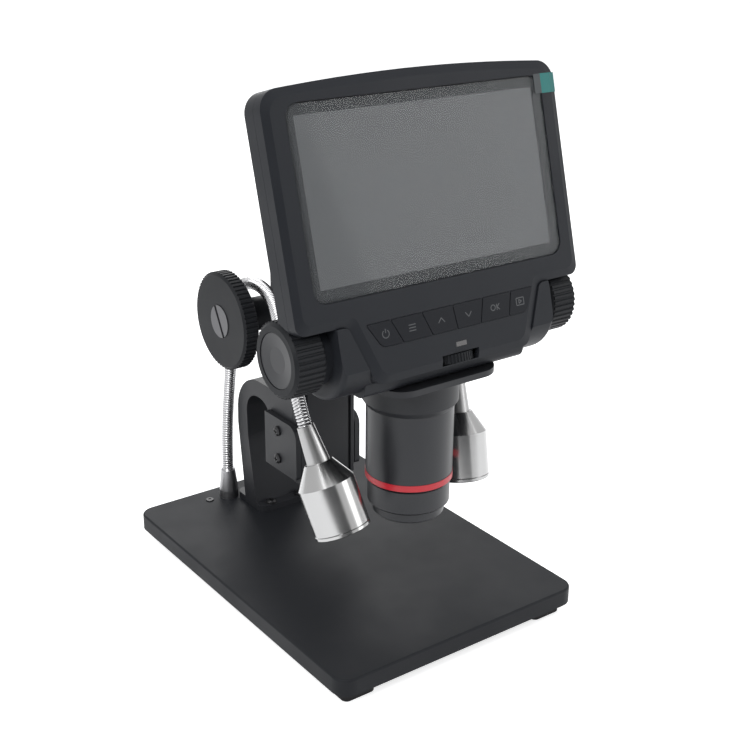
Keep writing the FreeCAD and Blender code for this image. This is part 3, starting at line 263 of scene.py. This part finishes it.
# %% Give each piece its surface
slots = {row["node"]: row["material_slot"] for row in frame["record"]["subparts"]}
for name, piece in nodes.items():
    slot = slots[name]
    side = name.rsplit("_", 1)[-1]
    piece.data.materials.clear()
    piece.data.materials.append(SURFACES.get(slot + "_" + side) or SURFACES[slot])
    for polygon in piece.data.polygons:
        polygon.material_index = 0
print("Slots in use:", len(set(slots.values())))

# %% [markdown]
# ## The line of each gooseneck
# A gooseneck is a steel tube wound from one strip, stiff enough to stay where it is bent. It
# leaves its socket upright and ends on the lamp's own aim. A Bezier curve drawn by hand could
# follow that, but a cubic through the same points as the CAD hose, with both end directions held,
# lies exactly on the solid.

# %% Route and spline
HOSES = {
    "left": [(-17.7, 74.5, 28.0), (-16.9, 74.2, 55.0), (-16.3, 70.8, 82.0), (-20.0, 60.5, 110.0),
             (-25.5, 43.0, 130.0), (-28.6, 24.0, 136.8), (-31.6, 8.0, 135.6), (-36.8, -6.0, 130.4),
             (-42.5, -22.0, 118.2), (-45.6, -33.2, 108.6), (-46.8, -39.9, 99.9)],
    "right": [(17.7, 74.5, 28.0), (16.9, 74.2, 55.0), (16.4, 70.8, 82.0), (20.0, 60.0, 110.0),
              (25.5, 42.0, 129.0), (29.4, 23.0, 134.6), (33.4, 7.0, 132.6), (37.6, -7.0, 125.6),
              (40.0, -18.0, 116.0), (38.8, -27.0, 106.6), (36.0, -31.2, 98.4)],
}
STEPS_PER_SPAN = 24


def spline(points, start, end):
    """Points close together on the cubic through the route, with the given end directions."""
    p = np.array(points, float)
    t = np.concatenate([[0], np.cumsum(np.linalg.norm(np.diff(p, axis=0), axis=1))])
    count = len(p)
    a = np.zeros((count, count))
    b = np.zeros((count, 3))
    a[0, 0] = a[-1, -1] = 1
    b[0], b[-1] = start, end
    for i in range(1, count - 1):
        before, after = t[i] - t[i - 1], t[i + 1] - t[i]
        a[i, i - 1:i + 2] = (1 / before, 2 / before + 2 / after, 1 / after)
        b[i] = 3 * ((p[i] - p[i - 1]) / before ** 2 + (p[i + 1] - p[i]) / after ** 2)
    m = np.linalg.solve(a, b)
    line = []
    for i in range(count - 1):
        h = t[i + 1] - t[i]
        for s in np.linspace(0, 1, STEPS_PER_SPAN, endpoint=i == count - 2):
            line.append((2 * s ** 3 - 3 * s ** 2 + 1) * p[i] + (s ** 3 - 2 * s ** 2 + s) * h * m[i]
                        + (3 * s ** 2 - 2 * s ** 3) * p[i + 1] + (s ** 3 - s ** 2) * h * m[i + 1])
    return np.array(line) * MM


routes = {side: spline(points, (0, 0, 1), AIMS[side]) for side, points in HOSES.items()}
for side, route in routes.items():
    print(side, "gooseneck runs", round(float(np.linalg.norm(np.diff(route, axis=0), axis=1).sum()), 4))

# %% [markdown]
# ## Ribs along the line
# The CAD hose has wide ribs so that it stays light, while the real one has a rib about every
# 1.2 mm. Hundreds of rings placed by hand would be slow to change. Geometry nodes place one small
# ring at every pitch, turned along the line, and three named inputs hold the sizes. The tree ends
# by making the copies real, because the export drops instances.

# %% The tree that repeats the ring
RIB_SIZES = {"Pitch": 0.0012, "Ring radius": 0.00213, "Rib radius": 0.00066}
RING_CORNERS = 20
RIB_CORNERS = 8


def ring_tree():
    """A ring at every pitch along a curve, and the identifiers of the tree's inputs."""
    tree = bpy.data.node_groups.new("rings_along_a_line", "GeometryNodeTree")
    face = tree.interface
    face.new_socket("Geometry", in_out="INPUT", socket_type="NodeSocketGeometry")
    keys = {}
    for label, value in RIB_SIZES.items():
        socket = face.new_socket(label, in_out="INPUT", socket_type="NodeSocketFloat")
        socket.default_value = value
        keys[label] = socket.identifier
    socket = face.new_socket("Surface", in_out="INPUT", socket_type="NodeSocketMaterial")
    keys["Surface"] = socket.identifier
    face.new_socket("Geometry", in_out="OUTPUT", socket_type="NodeSocketGeometry")
    add = tree.nodes.new
    link = tree.links.new
    given = add("NodeGroupInput")
    result = add("NodeGroupOutput")
    places = add("GeometryNodeCurveToPoints")
    places.mode = "LENGTH"
    link(given.outputs["Geometry"], places.inputs["Curve"])
    link(given.outputs["Pitch"], places.inputs["Length"])
    ring = add("GeometryNodeCurvePrimitiveCircle")
    ring.inputs["Resolution"].default_value = RING_CORNERS
    link(given.outputs["Ring radius"], ring.inputs["Radius"])
    rib = add("GeometryNodeCurvePrimitiveCircle")
    rib.inputs["Resolution"].default_value = RIB_CORNERS
    link(given.outputs["Rib radius"], rib.inputs["Radius"])
    torus = add("GeometryNodeCurveToMesh")
    link(ring.outputs["Curve"], torus.inputs["Curve"])
    link(rib.outputs["Curve"], torus.inputs["Profile Curve"])
    copies = add("GeometryNodeInstanceOnPoints")
    link(places.outputs["Points"], copies.inputs["Points"])
    link(places.outputs["Rotation"], copies.inputs["Rotation"])
    link(torus.outputs["Mesh"], copies.inputs["Instance"])
    real = add("GeometryNodeRealizeInstances")
    link(copies.outputs["Instances"], real.inputs["Geometry"])
    smooth = add("GeometryNodeSetShadeSmooth")
    link(real.outputs["Geometry"], smooth.inputs["Geometry"])
    paint = add("GeometryNodeSetMaterial")
    link(smooth.outputs["Geometry"], paint.inputs["Geometry"])
    link(given.outputs["Surface"], paint.inputs["Material"])
    link(paint.outputs["Geometry"], result.inputs["Geometry"])
    return tree, keys


rib_tree, rib_keys = ring_tree()
print("Inputs of the tree:", list(rib_keys))

# %% [markdown]
# ## The two ribbed goosenecks
# Each line is a curve with the tree on it. Its result is kept as a plain mesh and the curve is
# removed, so nothing live is left for the export. Both goosenecks stay on the stand, and only the
# lamps at their ends move, on a ball.

# %% Make them plain meshes
def ribbed_hose(side):
    data = bpy.data.curves.new("hose_line_" + side, "CURVE")
    data.dimensions = "3D"
    run = data.splines.new("POLY")
    run.points.add(len(routes[side]) - 1)
    for point, place in zip(run.points, routes[side]):
        point.co = (*place, 1)
    line = bpy.data.objects.new("hose_line_" + side, data)
    bpy.context.scene.collection.objects.link(line)
    maker = line.modifiers.new("rings", "NODES")
    maker.node_group = rib_tree
    for label, value in RIB_SIZES.items():
        maker[rib_keys[label]] = value
    maker[rib_keys["Surface"]] = SURFACES["hose_metal"]
    bpy.context.view_layer.update()
    graph = bpy.context.evaluated_depsgraph_get()
    mesh = bpy.data.meshes.new_from_object(line.evaluated_get(graph))
    bpy.data.objects.remove(line)
    hose = bpy.data.objects.new("ribbed_hose_" + side, mesh)
    bpy.context.scene.collection.objects.link(hose)
    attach(hose, "stand")
    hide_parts("gooseneck_" + side)
    print(hose.name, "has", len(mesh.vertices) // (RING_CORNERS * RIB_CORNERS), "ribs")


for side in HOSES:
    ribbed_hose(side)

# %% [markdown]
# ## Flat layers
# Glass, film and print are thin plates with rounded corners. A plane with Solidify and Bevel
# would give much the same, but two outlines joined by a wall are exact and need few faces.

# %% Helpers for plates
def link_mesh(name, verts, faces, material, body):
    mesh = bpy.data.meshes.new(name)
    mesh.from_pydata([tuple(v) for v in verts], [], faces)
    mesh.materials.append(material)
    mesh.validate()
    mesh.update()
    piece = bpy.data.objects.new(name, mesh)
    bpy.context.scene.collection.objects.link(piece)
    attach(piece, body)
    print(name, "rides on", body, "with", len(mesh.polygons), "faces")
    return piece


def rounded_outline(left, right, low, top, corner, steps=10):
    """Points (x, v) round a rectangle with rounded corners, anticlockwise from the front."""
    centres = ((right - corner, top - corner, 0), (left + corner, top - corner, 90),
               (left + corner, low + corner, 180), (right - corner, low + corner, 270))
    points = []
    for x, v, first in centres:
        for i in range(steps + 1):
            angle = math.radians(first + 90 * i / steps)
            points.append((x + corner * math.cos(angle), v + corner * math.sin(angle)))
    return points


def pane(name, outline, low, high, slot):
    """Plate on the head between two depths, in the finish that its slot names."""
    n = len(outline)
    verts = [on_face(x, v, low) for x, v in outline] + [on_face(x, v, high) for x, v in outline]
    faces = [tuple(reversed(range(n))), tuple(range(n, 2 * n))]
    faces += [(i, (i + 1) % n, n + (i + 1) % n, n + i) for i in range(n)]
    return link_mesh(name, verts, faces, SURFACES[slot], "head")


# %% [markdown]
# ## The screen
# On the real screen a clear glass lies over the panel. Its border is printed dark on the back,
# and a protective film with a pull tab lies on the front. The CAD glass and film are replaced by
# plates a hair thinner, so that no two faces share a plane and the renderer can tell them apart.

# %% Cover glass
GLASS_LEFT = -58.3
GLASS_RIGHT = 59.2
GLASS_LOW = -35.1
GLASS_TOP = 34.5
GLASS_CORNER = 5.0
GLASS_DEPTHS = (-0.95, -0.02)

glass_outline = rounded_outline(GLASS_LEFT, GLASS_RIGHT, GLASS_LOW, GLASS_TOP, GLASS_CORNER)
cover = pane("cover_glass", glass_outline, *GLASS_DEPTHS, "smoked_glass")
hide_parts("screen_glass")

# %% [markdown]
# The printed border is a flat ring between the glass's outline and the picture. Both outlines
# have the same number of points, so quads join them one to one and the ring closes by itself.

# %% Printed border
PICTURE_HALF_W = 55.0
PICTURE_HALF_H = 30.5
PRINT_CORNER = 0.2
PRINT_DEPTHS = (-1.07, -0.99)

hole = rounded_outline(-PICTURE_HALF_W, PICTURE_HALF_W, -PICTURE_HALF_H, PICTURE_HALF_H, PRINT_CORNER)
n = len(hole)
verts = [on_face(x, v, w) for w in PRINT_DEPTHS for ring in (glass_outline, hole) for x, v in ring]
faces = []
for i in range(n):
    j = (i + 1) % n
    faces += [(i, n + i, n + j, j), (2 * n + i, 2 * n + j, 3 * n + j, 3 * n + i),
              (i, j, 2 * n + j, 2 * n + i), (n + i, 3 * n + i, 3 * n + j, n + j)]
link_mesh("printed_border", verts, faces, SURFACES["border_print"], "head")

# %% [markdown]
# The film is cut a little smaller than the glass, and less so on the side of its tab.

# %% Protective film
FILM_IN = 1.0
FILM_IN_AT_TAB = 0.6
FILM_CORNER = 4
FILM_DEPTHS = (0.02, 0.1)

film_outline = rounded_outline(GLASS_LEFT + FILM_IN, GLASS_RIGHT - FILM_IN_AT_TAB,
                               GLASS_LOW + FILM_IN, GLASS_TOP - FILM_IN_AT_TAB, FILM_CORNER)
film = pane("protective_film", film_outline, *FILM_DEPTHS, "clear_film")
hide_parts("screen_film")

# %% [markdown]
# ## Key signs
# The six keys carry grey printed signs: power, menu, up, down, confirm and play. A picture could
# hold them, but it blurs when seen close up. So each sign is a few lines, and each line becomes a
# thin band of ink that rides with its key when it is pressed.

# %% Lines of the signs
INK_WIDTH = 0.34
INK_DEPTHS = (0.2, 0.27)
ROW_V = -50.5
KEY_X = (-31.1, -18.9, -5.2, 8.0, 21.7, 34.2)


def arc(x, v, r, first, last, steps=14):
    turn = [math.radians(first + (last - first) * i / steps) for i in range(steps + 1)]
    return [(x + r * math.cos(a), v + r * math.sin(a)) for a in turn]


SIGNS = (
    [arc(0, 0, 1.5, 125, 415), [(0, 0.3), (0, 1.9)]],
    [[(-1.6, rise), (1.6, rise)] for rise in (-1.1, 0, 1.1)],
    [[(-1.5, -0.8), (0, 1.0), (1.5, -0.8)]],
    [[(-1.5, 0.8), (0, -1.0), (1.5, 0.8)]],
    [arc(-1.4, 0, 1.1, 0, 360), [(0.5, 1.2), (0.5, -1.2)], [(1.9, 1.2), (0.6, 0), (1.9, -1.2)]],
    [[(-1.9, -1.4), (1.9, -1.4), (1.9, 1.4), (-1.9, 1.4), (-1.9, -1.4)],
     [(-0.6, -0.8), (0.8, 0), (-0.6, 0.8), (-0.6, -0.8)]],
)

# %% [markdown]
# Each stretch of a line is its own small block of ink, wound so that all its faces look outwards.

# %% Ink on the keys
def stroke(points):
    """Band of ink along a line of (x, v) points, one block for each stretch."""
    verts = []
    faces = []
    for (x0, v0), (x1, v1) in zip(points, points[1:]):
        length = math.hypot(x1 - x0, v1 - v0)
        nx = -(v1 - v0) / length * INK_WIDTH / 2
        nv = (x1 - x0) / length * INK_WIDTH / 2
        a = len(verts)
        corners = ((x0 + nx, v0 + nv), (x0 - nx, v0 - nv), (x1 - nx, v1 - nv), (x1 + nx, v1 + nv))
        verts += [(x, v, w) for w in INK_DEPTHS for x, v in corners]
        faces += [(a + 4, a + 5, a + 6, a + 7), (a + 3, a + 2, a + 1, a)]
        faces += [(a + i, a + (i + 1) % 4, a + 4 + (i + 1) % 4, a + 4 + i) for i in range(4)]
    return verts, faces


for number, (key_x, sign) in enumerate(zip(KEY_X, SIGNS), start=1):
    verts = []
    faces = []
    for line in sign:
        more, sides = stroke([(key_x + x, ROW_V + v) for x, v in line])
        faces += [tuple(i + len(verts) for i in side) for side in sides]
        verts += more
    link_mesh("key_sign_%d" % number, [on_face(*v) for v in verts], faces, SURFACES["mark"],
              "key_%d" % number)

# %% [markdown]
# ## Small screws on the base
# A small screw sits in the base beside each lamp socket. Its head is a shape turned from a
# profile. Spin would do it, but it can turn a shape inside out, so the rings are joined directly,
# in an order that faces them outwards.

# %% Turned screw heads
SCREW_PROFILE = [(2.0, 13.0), (2.0, 13.35), (1.7, 13.5), (0.8, 13.5), (0.7, 13.2)]
SCREW_X = 28.0
SCREW_Y = 75.4
SCREW_STEPS = 32


def turned_piece(name, profile, centre_x, centre_y, slot):
    """Round piece on the stand, from a profile of (radius, height) in millimetres."""
    verts = []
    for r, z in profile:
        for i in range(SCREW_STEPS):
            angle = 2 * math.pi * i / SCREW_STEPS
            x = centre_x + r * math.cos(angle)
            y = centre_y + r * math.sin(angle)
            verts.append(Vector((x, y, z)) * MM)
    faces = []
    for row in range(len(profile) - 1):
        low = row * SCREW_STEPS
        high = low + SCREW_STEPS
        for i in range(SCREW_STEPS):
            j = (i + 1) % SCREW_STEPS
            faces.append((low + i, low + j, high + j, high + i))
    faces.append(tuple(high + i for i in range(SCREW_STEPS)))
    return link_mesh(name, verts, faces, SURFACES[slot], "stand")


for side, x in (("left", -SCREW_X), ("right", SCREW_X)):
    turned_piece("base_screw_" + side, SCREW_PROFILE, x, SCREW_Y, "black_screw")

# %% [markdown]
# ## White floor
# The photograph has a plain white ground. Brighter lamps could whiten it, but they would wash the
# object out too. So the paper glows only for rays that show it: straight on, in a reflection or
# through glass. The lamps alone light the object, and its soft shadow stays.

# %% Floor and the rays that see it
PAPER_GLOW = 0.72


def plane(name, half, z, material):
    mesh = bpy.data.meshes.new(name)
    corners = [(-half, -half, z), (half, -half, z), (half, half, z), (-half, half, z)]
    mesh.from_pydata(corners, [], [(0, 1, 2, 3)])
    mesh.materials.append(material)
    piece = bpy.data.objects.new(name, mesh)
    bpy.context.scene.collection.objects.link(piece)
    return piece


def background_rays(tree):
    """1 for a ray that shows the background: straight on, in a reflection or through glass."""
    paths = tree.nodes.new("ShaderNodeLightPath")
    total = paths.outputs["Is Camera Ray"]
    for label in ("Is Glossy Ray", "Is Transmission Ray"):
        either = tree.nodes.new("ShaderNodeMath")
        either.operation = "MAXIMUM"
        tree.links.new(total, either.inputs[0])
        tree.links.new(paths.outputs[label], either.inputs[1])
        total = either.outputs[0]
    return total


paper = surface("paper", (0.86, 0.86, 0.86), 0.7, grain=60, bump=0.02, uneven=0.01)
shade = paper.node_tree.nodes["Principled BSDF"]
shade.inputs["Emission Color"].default_value = (1, 1, 1, 1)
glow = paper.node_tree.nodes.new("ShaderNodeMath")
glow.operation = "MULTIPLY"
glow.inputs[1].default_value = PAPER_GLOW
paper.node_tree.links.new(background_rays(paper.node_tree), glow.inputs[0])
paper.node_tree.links.new(glow.outputs[0], shade.inputs["Emission Strength"])
floor = plane("floor", 3.0, -0.0004, paper)
print("Floor at z =", floor.data.vertices[0].co.z)

# %% [markdown]
# ## Camera
# The camera stands where the photographer's did. Its place and lens were solved from the corners
# of the base and the screen in the photograph, which gives three axes and a slight roll.

# %% Solved camera
CAMERA_PLACE = Vector((-290.6, -416.2, 301.1)) * MM
CAMERA_RIGHT = Vector((0.8053, -0.5929, 0.0))
CAMERA_UP = Vector((0.2211, 0.3004, 0.9279))
CAMERA_BACK = Vector((-0.5501, -0.7472, 0.3730))
CAMERA_ROLL = math.radians(0.484)

camera = bpy.data.objects.new("camera", bpy.data.cameras.new("camera"))
bpy.context.scene.collection.objects.link(camera)
bpy.context.scene.camera = camera
camera.data.lens = 60.95
camera.data.sensor_width = 36.0
camera.data.clip_start = 0.01
camera.data.clip_end = 20.0
across = CAMERA_RIGHT * math.cos(CAMERA_ROLL) + CAMERA_UP * math.sin(CAMERA_ROLL)
above = CAMERA_UP * math.cos(CAMERA_ROLL) - CAMERA_RIGHT * math.sin(CAMERA_ROLL)
turn = Matrix((across, above, CAMERA_BACK)).transposed().to_4x4()
camera.matrix_world = Matrix.Translation(CAMERA_PLACE) @ turn
print("Camera at", [round(c, 3) for c in CAMERA_PLACE], "with a lens of", camera.data.lens, "mm")

# %% [markdown]
# ## Dark card
# Chrome in an all white room looks flat. Photographers stand a dark card beside the camera, and
# its reflection draws the dark bands that show a round form. This card is seen in reflections only.

# %% Card behind the camera
CARD_HALF = 0.9
CARD_PLACE = (-0.7, -1.15, 0.5)
CARD_FACING = Vector((0.52, 0.85, 0.0))

card = plane("dark_card", CARD_HALF, 0.0, surface("dark_card", (0.2, 0.2, 0.2), 0.9, specular=0.0))
facing = CARD_FACING.to_track_quat("Z", "Y").to_matrix().to_4x4()
card.data.transform(Matrix.Translation(CARD_PLACE) @ facing)
card.visible_camera = False
card.visible_diffuse = False
card.visible_shadow = False
print("Card at", CARD_PLACE)

# %% [markdown]
# ## Lamps of the studio
# Four soft boxes stand round the object: a main one at the left front, a weaker one at the right,
# one above and one behind. Single points of light would give hard shadows, which the photograph
# does not have. Each row gives a place, the height it aims at, its width and depth, and its power.

# %% Soft boxes
SOFT_BOXES = (
    ("key_light", (-0.9, -0.55, 0.95), 0.12, 0.5, 0.7, 10),
    ("fill_light", (0.75, -0.8, 0.55), 0.12, 0.5, 0.8, 3.5),
    ("top_light", (0.0, 0.15, 1.2), 0.1, 0.9, 0.9, 6),
    ("back_light", (0.5, 0.9, 0.7), 0.15, 0.6, 0.6, 4),
)
for name, place, aim_height, width, depth, power in SOFT_BOXES:
    data = bpy.data.lights.new(name, "AREA")
    data.shape = "RECTANGLE"
    data.size = width
    data.size_y = depth
    data.energy = power
    light = bpy.data.objects.new(name, data)
    bpy.context.scene.collection.objects.link(light)
    light.location = place
    light.rotation_mode = "QUATERNION"
    light.rotation_quaternion = (Vector((0, 0, aim_height)) - Vector(place)).to_track_quat("-Z", "Y")
    print(name, power, "W")

# %% [markdown]
# ## The room
# The world is white wherever the picture shows it, also in chrome and glass. For all other rays it
# is a weak, slightly cool light, so that the undersides stay dark as they are in the photograph.

# %% World
ROOM_LIGHT = 0.30
ROOM_COLOUR = (0.92, 0.95, 1.0, 1)

world = bpy.data.worlds.new("studio")
bpy.context.scene.world = world
world.use_nodes = True
tree = world.node_tree
tree.nodes.clear()
seen = tree.nodes.new("ShaderNodeBackground")
seen.inputs["Color"].default_value = (1, 1, 1, 1)
seen.inputs["Strength"].default_value = 1.0
lit = tree.nodes.new("ShaderNodeBackground")
lit.inputs["Color"].default_value = ROOM_COLOUR
lit.inputs["Strength"].default_value = ROOM_LIGHT
mixed = tree.nodes.new("ShaderNodeMixShader")
out = tree.nodes.new("ShaderNodeOutputWorld")
tree.links.new(background_rays(tree), mixed.inputs["Fac"])
tree.links.new(lit.outputs["Background"], mixed.inputs[1])
tree.links.new(seen.outputs["Background"], mixed.inputs[2])
tree.links.new(mixed.outputs["Shader"], out.inputs["Surface"])
bpy.context.scene.view_settings.view_transform = "Standard"
print("World nodes:", len(tree.nodes))
